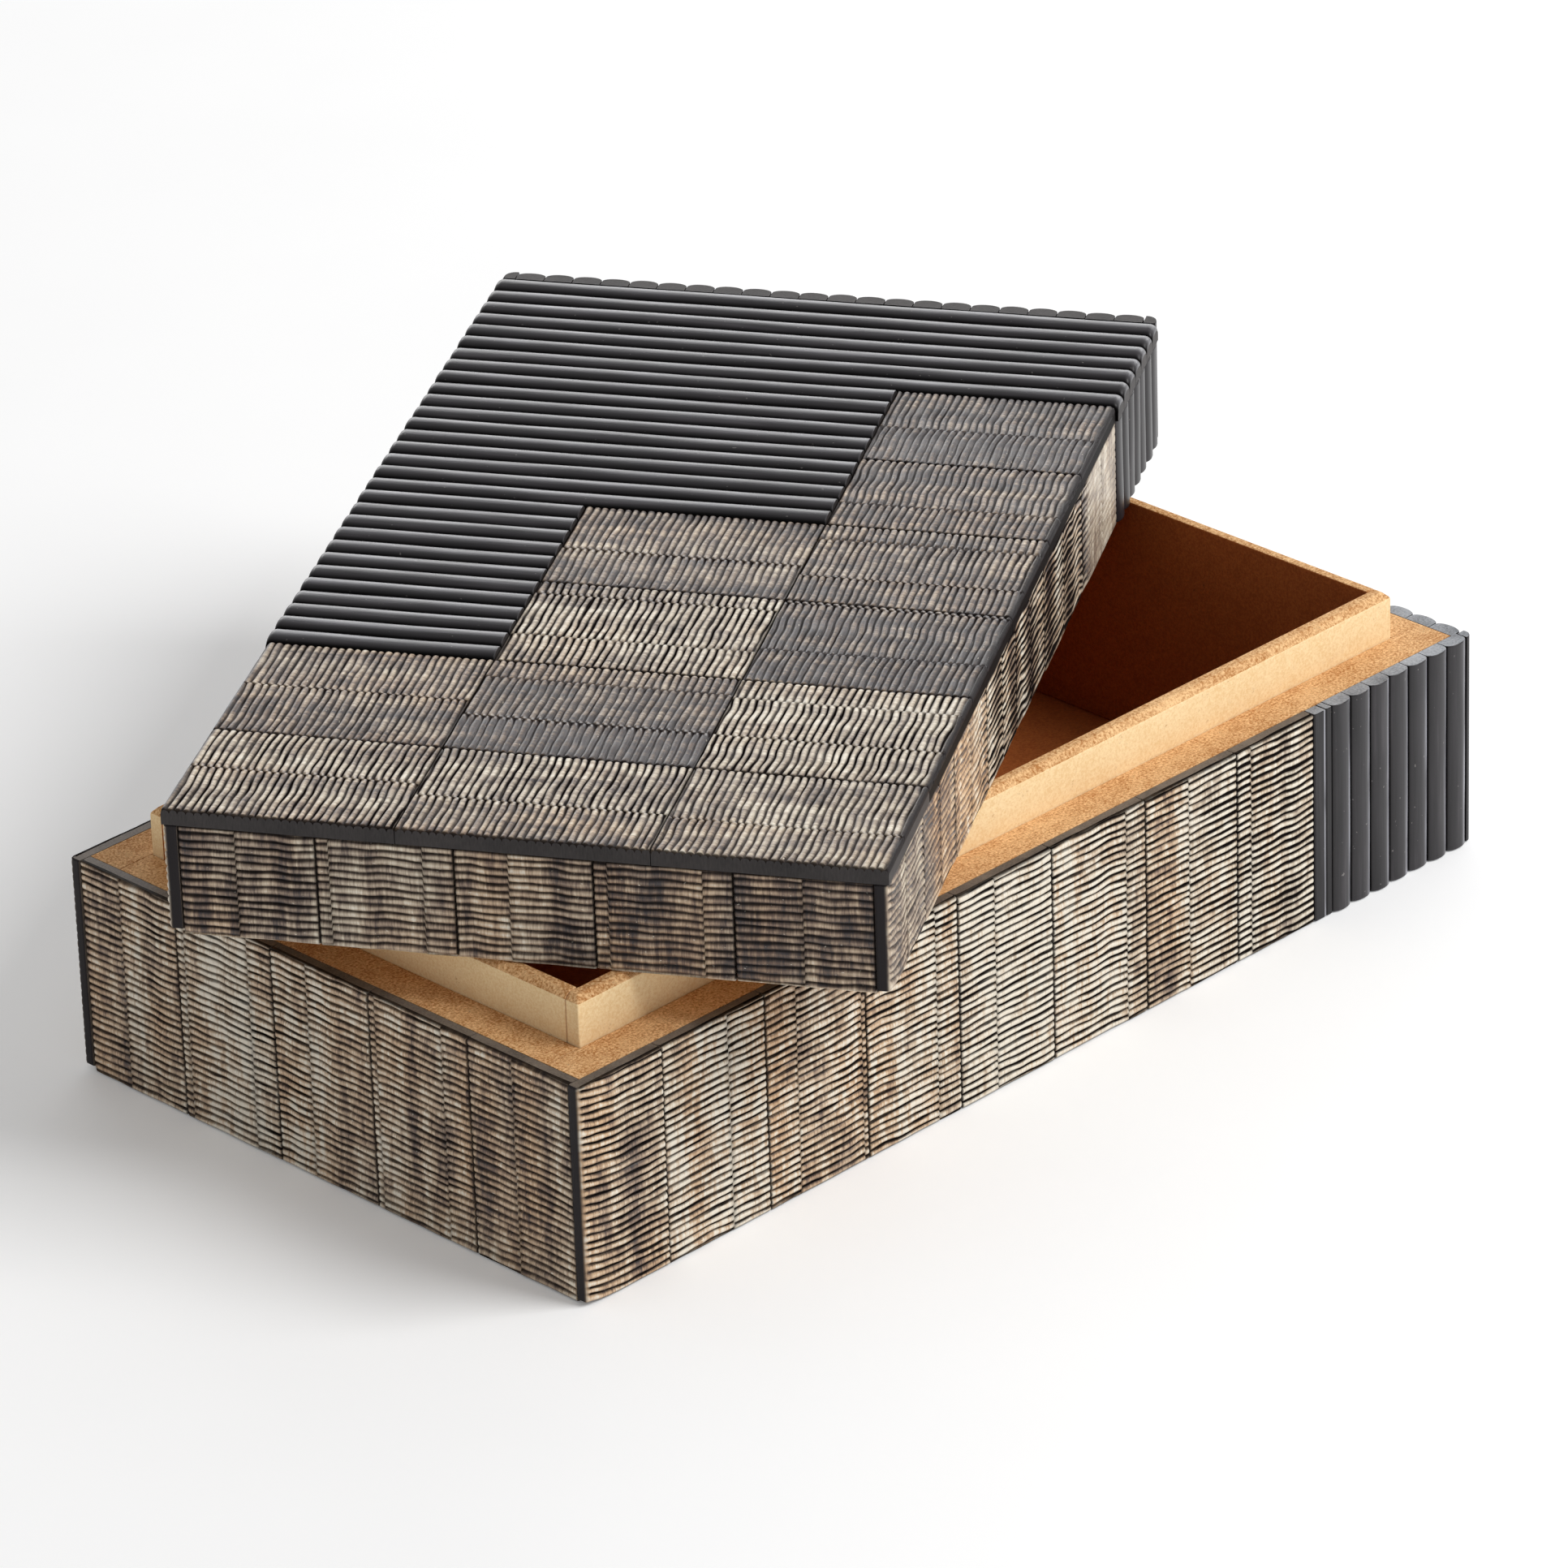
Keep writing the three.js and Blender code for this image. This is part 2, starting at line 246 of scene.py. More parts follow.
class Shader:
    """A small helper that adds nodes to one material."""

    def __init__(self, name, roughness, specular):
        self.material = bpy.data.materials.new(name)
        self.material.use_nodes = True
        self.tree = self.material.node_tree
        self.surface = self.tree.nodes["Principled BSDF"]
        self.surface.inputs["Roughness"].default_value = roughness
        self.surface.inputs["Specular IOR Level"].default_value = specular

    def node(self, kind, settings=None, **inputs):
        node = self.tree.nodes.new(kind)
        for key, value in (settings or {}).items():
            setattr(node, key, value)
        for key, value in inputs.items():
            self.feed(node.inputs[key.replace("_", " ")], value)
        return node

    def feed(self, socket, value):
        if isinstance(value, bpy.types.NodeSocket):
            self.tree.links.new(value, socket)
        else:
            socket.default_value = value

    def attribute(self, name, output="Fac"):
        return self.node("ShaderNodeAttribute", {"attribute_name": name}).outputs[output]

    def math(self, operation, a, b=0.0, clamp=False):
        node = self.node("ShaderNodeMath", {"operation": operation, "use_clamp": clamp})
        self.feed(node.inputs[0], a)
        self.feed(node.inputs[1], b)
        return node.outputs[0]

    def times(self, a, b):
        return self.math("MULTIPLY", a, b)

    def plus(self, a, b):
        return self.math("ADD", a, b)

    def noise(self, vector, scale, detail=3.0, stretch=(1, 1, 1), roughness=0.55):
        mapped = self.node("ShaderNodeMapping", Vector=vector, Scale=stretch).outputs[0]
        return self.node("ShaderNodeTexNoise", Vector=mapped, Scale=scale, Detail=detail,
                         Roughness=roughness).outputs["Fac"]

    def ramp(self, factor, stops, interpolation="LINEAR"):
        node = self.node("ShaderNodeValToRGB", Fac=factor)
        ramp = node.color_ramp
        ramp.interpolation = interpolation
        for _ in range(len(stops) - 2):
            ramp.elements.new(0.5)
        for element, (position, colour) in zip(ramp.elements, stops):
            element.position = position
            element.color = colour
        return node.outputs["Color"]

    def mix(self, factor, a, b, blend="MIX"):
        node = self.node("ShaderNodeMix", {"data_type": "RGBA", "blend_type": blend})
        self.feed(node.inputs[0], factor)
        self.feed(node.inputs[6], a)
        self.feed(node.inputs[7], b)
        return node.outputs[2]

    def grey(self, value):
        return (value, value, value, 1.0)

    def mask(self, value, low, high):
        """0 below low and 1 above high."""
        node = self.node("ShaderNodeMapRange", Value=value)
        for key, number in zip((1, 2), (low, high)):
            node.inputs[key].default_value = number
        return node.outputs[0]

    def dull(self, mask, specular):
        """No gloss where the mask is 1."""
        kept = self.times(self.math("SUBTRACT", 1.0, mask), specular)
        self.feed(self.surface.inputs["Specular IOR Level"], kept)

    def finish(self, colour, roughness=None, bump=None, strength=0.3, distance=0.0002):
        self.feed(self.surface.inputs["Base Color"], colour)
        if roughness is not None:
            self.feed(self.surface.inputs["Roughness"], roughness)
        if bump is not None:
            node = self.node("ShaderNodeBump", Strength=strength, Distance=distance, Height=bump)
            self.feed(self.surface.inputs["Normal"], node.outputs[0])
        return self.material


CREAM, SAND = linear(232, 223, 206), linear(196, 182, 161)
UMBER, BARK = linear(148, 132, 117), linear(98, 85, 77)
CHARCOAL, PITCH_BLACK = linear(68, 63, 64), linear(24, 20, 19)
HONEY, RUST = linear(206, 170, 132), linear(124, 97, 78)


def carved_horn():
    """Horn whose stains, warmth, grooves and polished strips come from the carving; painted shade fills
    the grooves.
    """
    s = Shader("carved_horn", 0.42, 0.35)
    grain = s.attribute("grain", "Vector")
    streaks = s.noise(grain, 900.0, 4.0, (1.0, 0.16, 1.0))
    fibres = s.noise(grain, 2600.0, 3.0, (1.0, 0.1, 1.0))
    flecks_and_glints = s.noise(grain, 1500.0, 2.0, (0.5, 1.0, 1.0))
    mottle = s.times(s.math("SUBTRACT", streaks, 0.5), 0.9)
    fine = s.times(s.math("SUBTRACT", fibres, 0.5), 0.7)
    stain_and_rib_shading = s.math("ADD", s.attribute("stain_and_rib_shading"), s.plus(mottle, fine), clamp=True)
    cool = s.ramp(stain_and_rib_shading, [(0.0, CREAM), (0.28, SAND), (0.55, UMBER), (0.78, BARK), (1.0, CHARCOAL)])
    warm = s.ramp(stain_and_rib_shading, [(0.0, CREAM), (0.3, HONEY), (0.65, RUST), (1.0, CHARCOAL)])
    colour = s.mix(s.attribute("warmth"), cool, warm)
    # Pale specks on the ribs, standing for glints: a painted highlight.
    colour = s.mix(s.mask(flecks_and_glints, 0.70, 0.78), colour, CREAM)
    # Painted shade in the grooves and at the steps of the ribs: black and without gloss. The joints
    # between the tiles are as black.
    groove = s.attribute("groove")
    colour = s.mix(groove, colour, PITCH_BLACK)
    colour = s.mix(s.attribute("polish"), colour, linear(46, 43, 44))
    s.dull(s.math("MAXIMUM", groove, s.times(s.attribute("polish"), 0.85)), 0.35)
    shine = s.mask(s.noise(grain, 500.0), 0.2, 0.9)
    rough = s.plus(s.times(shine, 0.25), 0.24)
    return s.finish(colour, rough, fibres, 0.25, 0.00015)


def cut_horn(name, dark, light, specular=0.3):
    """The sawn and ground edges of horn. The colours are as the eye reads them."""
    s = Shader(name, 0.55, specular)
    place = s.node("ShaderNodeTexCoord").outputs["Object"]
    saw = s.noise(place, 1800.0, 2.0, (1.0, 1.0, 0.25))
    blotch = s.noise(place, 90.0, 4.0)
    tone = s.plus(s.times(saw, 0.45), s.times(blotch, 0.65))
    return s.finish(s.ramp(tone, [(0.3, linear(*dark)), (0.75, linear(*light))]), None, saw, 0.2, 0.0002)


def black_horn():
    s = Shader("black_horn", 0.4, 0.5)
    grain = s.attribute("grain", "Vector")
    streaks = s.noise(grain, 700.0, 4.0, (1.0, 0.05, 1.0))
    scratches = s.noise(grain, 2400.0, 2.0, (1.0, 0.02, 1.0))
    broad = s.noise(grain, 60.0, 3.0, (1.0, 0.35, 1.0))
    flecks_and_glints = s.noise(grain, 1300.0, 1.0, (1.0, 0.6, 1.0))
    tone = s.plus(s.times(streaks, 0.6), s.times(broad, 0.4))
    colour = s.ramp(tone, [(0.3, linear(22, 20, 22)), (0.55, linear(42, 39, 42)),
                           (0.8, linear(74, 70, 74))])
    colour = s.mix(s.mask(flecks_and_glints, 0.76, 0.8), colour, linear(112, 108, 106))
    # A light grey broken by the streaks: a painted highlight along the reeds' crests and on one of their
    # flanks, and the worn edge of the flat strip.
    worn = s.times(s.attribute("wear_and_highlight"), s.mask(streaks, 0.25, 0.6))
    colour = s.mix(worn, colour, linear(176, 176, 184))
    # Near black and without gloss: painted shade on the reeds' flanks by the grooves. The flat strips
    # and the corner reeds are darkened the same way.
    groove = s.attribute("groove")
    colour = s.mix(groove, colour, linear(12, 11, 11))
    s.dull(groove, 0.5)
    rough = s.plus(s.times(scratches, 0.3), 0.2)
    return s.finish(colour, rough, scratches, 0.2, 0.00012)


def fibreboard(name, light, dark, speck, fuzz):
    """Pressed wood fibre: a fine felt of lighter and darker fibres."""
    s = Shader(name, 0.85, 0.2)
    place = s.node("ShaderNodeTexCoord").outputs["Object"]
    felt = s.noise(place, 1500.0, 5.0, (1.0, 1.0, 1.0), 0.7)
    clumps = s.noise(place, 260.0, 4.0, (1.0, 1.0, 1.0), 0.65)
    broad = s.noise(place, 28.0, 3.0)
    tone = s.plus(s.times(felt, 0.65), s.plus(s.times(clumps, 0.2), s.times(broad, 0.15)))
    colour = s.ramp(tone, [(0.42, dark), (0.58, light)])
    specks = s.times(s.mask(clumps, 0.6, 0.7), s.mask(felt, 0.5, 0.62))
    colour = s.mix(specks, colour, speck)
    return s.finish(colour, None, felt, fuzz, 0.0004)


CARVED = carved_horn()
BLACK = black_horn()
EDGE_HORN = cut_horn("sawn_horn", (62, 56, 53), (128, 116, 104))
POLISHED_HORN = cut_horn("polished_horn", (34, 31, 31), (62, 57, 56))
GROUND_HORN = cut_horn("ground_horn", (74, 76, 80), (176, 180, 186))
# A near-black copy of the cut horn with little gloss: painted shadow in the gap along the lid's right
# edge.
SHADED_HORN = cut_horn("shaded_horn", (16, 14, 14), (30, 27, 26), 0.04)
REED_ENDS = {"base": GROUND_HORN, "lid": POLISHED_HORN}
RAW_BOARD = fibreboard("raw_fibreboard", linear(246, 202, 148), linear(178, 120, 66),
                       linear(120, 74, 38), 0.6)
PALE_BOARD = fibreboard("pale_fibreboard", linear(250, 224, 178), linear(238, 204, 152),
                        linear(204, 158, 104), 0.15)
# A darker copy of the fibreboard for the faces inside the box and its floor: painted shade.
SHADE_DARKENED_BOARD = fibreboard("shade_darkened_fibreboard", linear(186, 106, 52), linear(160, 86, 40),
                        linear(120, 64, 30), 0.2)


# ---- Carved tiles ----


@dataclass
class Pattern:
    """How one side is carved and stained, by distance along its ribs from the side's start.

    breaks are where the ribs are offset within a tile. tones are (distance, darkness, warmth,
    groove_shade), the last three in percent, and each is blended into the next. groove_shade is how
    dark the painted shade in the grooves is, and above 100 the grooves are wider too.
    bands are (distance, width, darkness). sway is how much the ribs wander. Beyond worn_from they
    are worn nearly flat. pale_foot leaves the lower edge pale.
    """

    seed: int
    breaks: tuple
    tones: tuple
    bands: tuple = ()
    sway: float = 1.0
    worn_from: float = 1000.0
    pale_foot: bool = False

    def for_tile(self, position):
        """The same pattern with a tile's own random numbers."""
        return replace(self, seed=self.seed + TILE_SEED_STEP * position)

    def tone(self, along):
        distances, *percents = np.array(self.tones, float).T
        return [np.interp(along, distances, percent / 100) for percent in percents]

    def band(self, along):
        total = np.zeros_like(along)
        for place, width, darkness in self.bands:
            total = total + darkness * np.exp(-((along - place) / width) ** 2)
        return total

    def shift(self, along, seams):
        """The ribs' offset, in ribs, which jumps at each break and seam."""
        edges = np.sort(np.array([*self.breaks, *seams]))
        part = np.searchsorted(edges, along)
        jitter = np.random.default_rng(self.seed).uniform(-0.14, 0.14, len(edges) + 1)
        return (part % 2) * 0.5 + jitter[part] + 0.2


@dataclass
class Course:
    """The line that a tile's ribs follow, as samples in the body's frame.

    along are distances from the side's start, points lie on the tile's face, back on its back, and
    outward are directions. relief is 1 where the ribs are full, and polish is 1 where the horn is
    smooth and black.
    """

    along: np.ndarray
    points: np.ndarray
    back: np.ndarray
    outward: np.ndarray
    relief: np.ndarray
    polish: np.ndarray

    @property
    def cornered(self):
        return self.polish[0] > 0


def course_samples(length, breaks):
    """Distances along a course, close together at its ends and on both sides of a break."""
    inner = np.arange(COURSE_STEP, length - COURSE_STEP / 2, COURSE_STEP)
    ends = np.concatenate([END_SAMPLES, length - END_SAMPLES])
    jumps = [b + side for b in breaks if 1 < b < length - 1 for side in BREAK_SIDES]
    inner = [d for d in inner if all(abs(d - j) > SAMPLE_CLEARANCE for j in [*jumps, *ends])]
    return np.unique(np.concatenate([ends, jumps, inner]))


def straight_course(start, direction, outward, length, offset, pattern, thickness=TILE_THICKNESS):
    distance = course_samples(length, [b - offset for b in pattern.breaks])
    direction, outward = np.array(direction, float), np.array(outward, float)
    points = np.array(start) + distance[:, None] * direction
    return Course(
        along=distance + offset,
        points=points,
        back=points - thickness * outward,
        outward=np.repeat(outward[None], len(distance), axis=0),
        relief=np.ones(len(distance)),
        polish=np.zeros(len(distance)),
    )


def corner_course(front, outside, end, sign, pattern):
    """A polished strip on the front, a rounded corner and then the carved side. sign is the side's."""
    radius = CORNER_RADIUS
    flat = np.linspace(0, TILE_THICKNESS - radius, 4)[:-1]
    angle = np.linspace(0, math.pi / 2, 8)
    side = course_samples(end - front - radius, [b - radius for b in pattern.breaks])[1:]
    on_flat, on_side = np.ones(len(flat)), np.ones(len(side))
    along_flat = np.column_stack([front * on_flat, outside - TILE_THICKNESS + flat])
    along_arc = np.column_stack([front + radius * (1 - np.cos(angle)),
                                 outside - radius * (1 - np.sin(angle))])
    along_side = np.column_stack([front + radius + side, outside * on_side])
    points = np.concatenate([along_flat, along_arc, along_side])
    normal = np.concatenate([
        np.outer(on_flat, (-1.0, 0.0)),
        np.column_stack([-np.cos(angle), np.sin(angle)]),
        np.outer(on_side, (0.0, 1.0)),
    ])
    # Round the corner the back is drawn together at the tile's inner corner.
    inner = np.array([front + TILE_THICKNESS, outside - TILE_THICKNESS])
    gathered = inner + 0.02 * (points - inner)
    back = np.where(points[:, :1] > inner[0], points - [0, TILE_THICKNESS], gathered)
    carved = np.concatenate([0 * on_flat, fade(angle / angle[-1]), on_side])
    black = np.concatenate([on_flat, 1 - fade(np.clip(angle / 0.7 - 0.1, 0, 1)), 0 * on_side])
    distance = np.concatenate([0 * on_flat, radius * np.sin(angle), radius + side])

    def placed(flat_points):
        return np.column_stack([flat_points * [1, sign], np.zeros(len(flat_points))])

    return Course(
        along=distance,
        points=placed(points),
        back=placed(back),
        outward=placed(normal),
        relief=carved,
        polish=black,
    )


def rounding(distance, radius):
    """How far a rounded edge lies below its face, at a distance from the edge."""
    inside = np.clip(1 - distance / radius, 0, 1)
    return radius * (1 - np.sqrt(1 - inside**2))


class Face:
    """A tile's carved face, on a grid of samples across its ribs and along its course.

    rib counts the ribs from the lower end, whole is a rib's number and inside the place in it.
    across and height are in millimetres. The ribs fade out over the widths of the margins at the
    lower and the upper end, of which one or both may be 0.
    """

    def __init__(self, course, height, pattern, seams, margins):
        self.course, self.pattern, self.seed = course, pattern, pattern.seed
        self.height = height
        self.along = course.along
        ribs = max(1, round(height / RIB_PITCH))
        lines = (np.arange(ribs + 1)[:, None] + RIB_STEPS).ravel()
        self.rib = np.append(lines, ribs + 1.0)[:, None]
        self.whole = np.floor(self.rib + 1e-9)
        self.inside = self.rib - self.whole
        self.shift = pattern.shift(self.along, seams)
        self.band = pattern.band(self.along)
        self.dark, self.warm, self.groove_shade = pattern.tone(self.along)
        if course.cornered:
            self.dark = self.dark - 0.2 * np.exp(-((self.along - 0.8) / 1.2) ** 2)
        self.across = self.rib_lines(height / ribs)
        self.to_edge = np.minimum(self.across, height - self.across)
        self.to_end = np.minimum(self.along - self.along[0], self.along[-1] - self.along)
        if course.cornered:
            self.to_end = self.to_end + NO_EDGE
        from_margins = zip(margins, (self.across, height - self.across))
        self.margins = [(width, distance) for width, distance in from_margins if width]
        self.low_margin = margins[0] > 0
        self.smooth = self.margin_fade()
        worn = np.clip((self.along - pattern.worn_from) / WORN_REACH, 0, 1)
        self.relief = course.relief * (1 - 0.85 * self.smooth) * (1 - 0.8 * worn)
        self.foot = np.exp(-((self.across / FOOT_WIDTH) ** 4)) * pattern.pale_foot

    def per_rib(self, layers):
        """Random change that is the same across a rib."""
        return layered(self.whole, self.along, layers, self.seed)

    def clouds(self, layers):
        """Random change over the whole face."""
        return layered(self.along, self.across, layers, self.seed)

    def rib_lines(self, pitch):
        """The distances across the ribs, which wander, bow at the bands and jump at the breaks."""
        wobble = layered(self.rib, self.along, RIB_WOBBLE, self.seed)
        wobble = (wobble + 0.13 * wander(self.along, 6.0, self.seed)) * self.pattern.sway
        bow = 0.2 * np.clip(self.band * 2.2, 0, 1)
        if self.course.cornered:
            bow = bow + CORNER_BOW * np.exp(-((self.along / CORNER_BOW_REACH) ** 1.5))
        across = (self.rib + wobble * np.minimum(1, self.rib) + bow - self.shift) * pitch
        gap = MIN_GAP * np.linspace(0, 1, len(self.rib))[:, None]
        return np.clip(across, gap, self.height - MIN_GAP + gap)

    def margin_fade(self):
        """1 at the edge of a margin and 0 past it."""
        smooth = np.zeros_like(self.across)
        uneven = 1 + 0.3 * wander(self.along, 5.0, self.seed + 7)
        for width, distance in self.margins:
            smooth = np.maximum(smooth, 1 - fade(np.clip(distance / (width * uneven), 0, 1)))
        return smooth

    def lift(self):
        """How far the surface lies above the tile's face. It is never above it."""
        crest = np.sqrt(np.clip(1 - (2 * self.inside - 1) ** 2, 0, 1))
        depth = RIB_DEPTH * (1 + self.per_rib(DEPTH_CHANGE))
        lift = -self.relief * (depth * (1 - crest) - self.per_rib(CREST_SWELL) + CREST_DROP)
        for _, distance in self.margins:
            lift = lift - rounding(distance, TOP_EDGE_ROUNDING)
        lift = lift - rounding(self.to_end, EDGE_ROUNDING)
        return np.minimum(lift - rounding(self.to_edge, 0.8 * EDGE_ROUNDING), 0)

    def groove(self):
        """1 in the grooves, which hold painted shade, and in the joints, and less at the breaks, where
        painted shade lies at the steps of the offset ribs.
        """
        core = GROOVE_CORE + 0.06 * self.band + WIDE_GROOVE * np.maximum(self.groove_shade - 1, 0)
        core = core + self.per_rib(GROOVE_CHANGE)
        from_groove = np.minimum(self.inside, 1 - self.inside)
        groove_shade = self.groove_shade * (1.05 + self.per_rib(GROOVE_SHADE_CHANGE))
        shaded_grooves = np.clip(1 - (from_groove - core) / GROOVE_SOFTNESS, 0, 1) * np.clip(groove_shade, 0, 1)
        from_break = np.min(np.abs(self.along[:, None] - np.array(self.pattern.breaks)), axis=1)
        step_shade = BREAK_SHADE * np.exp(-((from_break / BREAK_WIDTH) ** 2))
        from_edge = np.minimum(self.to_edge, self.across / 4) if self.low_margin else self.to_edge
        seam = SEAM_SHADE * np.exp(-((np.minimum(self.to_end, from_edge) / SEAM_WIDTH) ** 2))
        groove = np.maximum(np.maximum(shaded_grooves, step_shade) * self.relief, seam)
        return np.clip(groove, 0, 1) * (1 - 0.9 * self.foot)

    def stain_and_rib_shading(self):
        """How dark the horn is, from 0 to 1, with painted shade on a rib's flanks and a painted
        highlight along its crest.
        """
        noise = self.clouds(STAIN_CLOUDS) + self.per_rib(RIB_STAIN)
        painted_rib_shading = (0.36 * np.abs(2 * self.inside - 1) - 0.18) * self.relief
        stain_and_rib_shading = self.dark + self.band + noise + painted_rib_shading
        stain_and_rib_shading = stain_and_rib_shading * (1 - 0.8 * self.smooth) + 0.8 * self.smooth
        return np.clip(stain_and_rib_shading * (1 - self.foot) + 0.22 * self.foot, 0, 1)

    def grain(self):
        """Where the horn's texture is read. Each tile and each part between breaks has its own."""
        own = float(self.seed % 97) * 0.37 + 0.05 * self.shift
        place = np.broadcast_arrays(self.along * MM, self.across * MM, own)
        return np.stack(place, axis=-1).reshape(-1, 3)


def carve(course, axis, low, high, pattern, seams, margins):
    """A closed slab with a carved face. axis is the one across the ribs, which rise along it."""
    height = high[axis] - low[axis]
    tile = Face(course, height, pattern, seams, margins)
    rise = np.eye(3)[axis]
    start = low[axis] * rise
    across, lift = tile.across[..., None], tile.lift()[..., None]
    face = start + course.points[None] + across * rise + lift * course.outward[None]
    rows, columns = tile.across.shape
    back_low = start + course.back
    back_high = back_low + height * rise
    index = np.arange(rows * columns).reshape(rows, columns)
    low_row = rows * columns + np.arange(columns)
    high_row = low_row + columns

    def strip(a, b):
        return np.column_stack([a[:-1], a[1:], b[1:], b[:-1]]).tolist()

    carved = [quad for a, b in zip(index[:-1], index[1:]) for quad in strip(a, b)]
    walls = strip(low_row, index[0]) + strip(index[-1], high_row) + strip(high_row, low_row)
    walls.append([*index[:, 0].tolist(), int(high_row[0]), int(low_row[0])])
    walls.append([int(low_row[-1]), int(high_row[-1]), *index[::-1, -1].tolist()])
    faces = carved + walls
    handed = np.cross(course.points[-1] - course.points[-2], rise) @ course.outward[-1]
    if handed < 0:
        faces = [f[::-1] for f in faces]
    hidden = np.zeros(2 * columns)

    def spread(values, fill):
        return np.concatenate([np.broadcast_to(values, (rows, columns)).ravel(), hidden + fill])

    return {
        "vertices": np.concatenate([face.reshape(-1, 3), back_low, back_high]),
        "faces": faces,
        "smooth": [True] * len(carved) + [False] * len(walls),
        "slots": [0] * len(carved) + [1] * len(walls),
        "attributes": {
            "grain": np.concatenate([tile.grain(), np.zeros((2 * columns, 3))]),
            "groove": spread(tile.groove(), 0.5),
            "stain_and_rib_shading": spread(tile.stain_and_rib_shading(), 0.6),
            "warmth": spread(np.clip(tile.warm + tile.clouds(WARMTH_CLOUDS), 0, 1), 0.2),
            "polish": spread(np.maximum(course.polish, 0.9 * tile.smooth**1.5), 0),
        },
    }


# Distances along each side, from the front or, on the front itself, from its
# left end. Two stops close together are a joint between two tiles.
FRONT_BREAKS = (17, 39, 61, 81, 104, 126, 149)
FRONT_BANDS = ((27, 2, 0.2), (51, 2, 0.25), (72, 1.5, 0.2), (92, 2.5, 0.25), (116, 2, 0.2),
               (158, 3, 0.15))
PATTERNS = {
    "base_front": Pattern(
        seed=11, breaks=FRONT_BREAKS,
        tones=((0, 55, 60, 75), (15, 50, 60, 75), (20, 30, 55, 70), (30, 45, 50, 80), (36, 30, 45, 75),
               (55, 10, 35, 75), (66, 30, 45, 85), (75, 20, 45, 80), (86, 30, 55, 75),
               (104, 40, 45, 70), (118, 35, 55, 75), (142, 55, 60, 65), (152, 45, 60, 65),
               (171, 45, 50, 70)),
        bands=FRONT_BANDS,
    ),
    "base_right": Pattern(
        seed=23, breaks=(47, 69, 90, 115, 135, 180, 202, 224),
        tones=((0, 45, 75, 95), (24, 40, 60, 100), (27, 20, 50, 90), (45, 20, 65, 90), (47, 5, 55, 90),
               (58, 20, 60, 95), (60, 30, 90, 85), (70, 40, 65, 100), (93, 35, 70, 100),
               (104, 20, 55, 100), (121, 20, 50, 100), (124, 10, 30, 100), (154, 0, 35, 100),
               (156, 10, 60, 95), (168, 20, 45, 100), (186, 30, 45, 100), (188, 40, 50, 100),
               (196, 50, 60, 100), (203, 20, 30, 100), (218, 15, 15, 120), (246, 25, 10, 120)),
        bands=((16, 3, 0.15), (228, 3, 0.15), (236, 2, 0.3)),
    ),
    "lid_front": Pattern(
        seed=37, breaks=FRONT_BREAKS,
        tones=((0, 65, 40, 70), (22, 75, 25, 70), (34, 65, 20, 70), (42, 45, 25, 60), (76, 45, 30, 65),
               (100, 55, 25, 65), (110, 70, 30, 60), (122, 60, 35, 60), (142, 80, 40, 60),
               (154, 65, 40, 55), (171, 65, 35, 60)),
        bands=FRONT_BANDS,
        pale_foot=True,
    ),
    "lid_right": Pattern(
        seed=41, breaks=(17, 52, 84, 118, 149, 187, 232),
        tones=((0, 70, 10, 60), (16, 60, 15, 55), (40, 60, 30, 55), (47, 65, 90, 50), (62, 65, 95, 50),
               (67, 55, 60, 70), (70, 40, 95, 50), (88, 40, 95, 60), (100, 35, 70, 90),
               (106, 20, 30, 120), (114, 60, 50, 170), (122, 25, 40, 120), (131, 75, 50, 180),
               (140, 25, 30, 130), (150, 75, 40, 190), (160, 30, 40, 130), (171, 70, 50, 190),
               (180, 25, 30, 120), (192, 70, 40, 180), (202, 30, 30, 120), (209, 65, 20, 140),
               (216, 50, 0, 80), (222, 40, 0, 30)),
        sway=2.2,
        worn_from=214,
    ),
    "left": Pattern(
        seed=53, breaks=(16, 48, 74),
        tones=((0, 50, 30, 90), (30, 35, 30, 95), (58, 25, 20, 95), (90, 40, 30, 95)),
        bands=((24, 3, 0.15), (66, 3, 0.15)),
    ),
    "top_left": Pattern(
        seed=61, breaks=(22, 65),
        tones=((0, 60, 15, 90), (4, 45, 10, 90), (20, 55, 10, 90), (30, 50, 0, 90), (40.5, 50, 5, 95),
               (41.5, 70, 10, 70), (54, 75, 10, 70), (66, 55, 30, 75), (86, 60, 20, 75)),
    ),
    "top_middle": Pattern(
        seed=71, breaks=(17, 58, 78, 101, 123, 148),
        tones=((0, 55, 20, 75), (12, 60, 20, 75), (18, 55, 5, 90), (40.5, 45, 5, 95),
               (41.5, 100, 0, 25), (56, 95, 0, 25), (59, 85, 5, 45), (76, 80, 5, 50), (80, 65, 25, 65),
               (86, 65, 25, 75), (87.5, 50, 10, 90), (104, 40, 0, 95), (118, 40, 0, 95),
               (128.5, 65, 0, 95), (130, 80, 0, 50), (140, 75, 0, 55), (146, 65, 15, 65),
               (158, 75, 10, 60), (171, 75, 15, 70)),
        bands=((110, 2, 0.2),),
    ),
    "top_right": Pattern(
        seed=83, breaks=(16, 58, 77, 103, 128, 143, 163, 184, 228),
        tones=((0, 55, 20, 70), (14, 55, 15, 70), (20, 45, 0, 75), (36, 50, 0, 80), (40.5, 55, 5, 90),
               (42, 40, 0, 95), (76, 35, 0, 95), (78, 25, 0, 85), (86, 35, 5, 95), (87.5, 95, 5, 60),
               (118, 95, 5, 65), (129, 75, 10, 65), (162, 75, 10, 70), (184, 70, 10, 60),
               (200, 85, 5, 65), (208.5, 90, 0, 60), (209.5, 105, 0, 35), (226, 105, 0, 40),
               (230, 95, 10, 60)),
        bands=((97, 3, -0.1), (179, 3, 0.1), (192, 2.5, 0.1)),
    ),
}


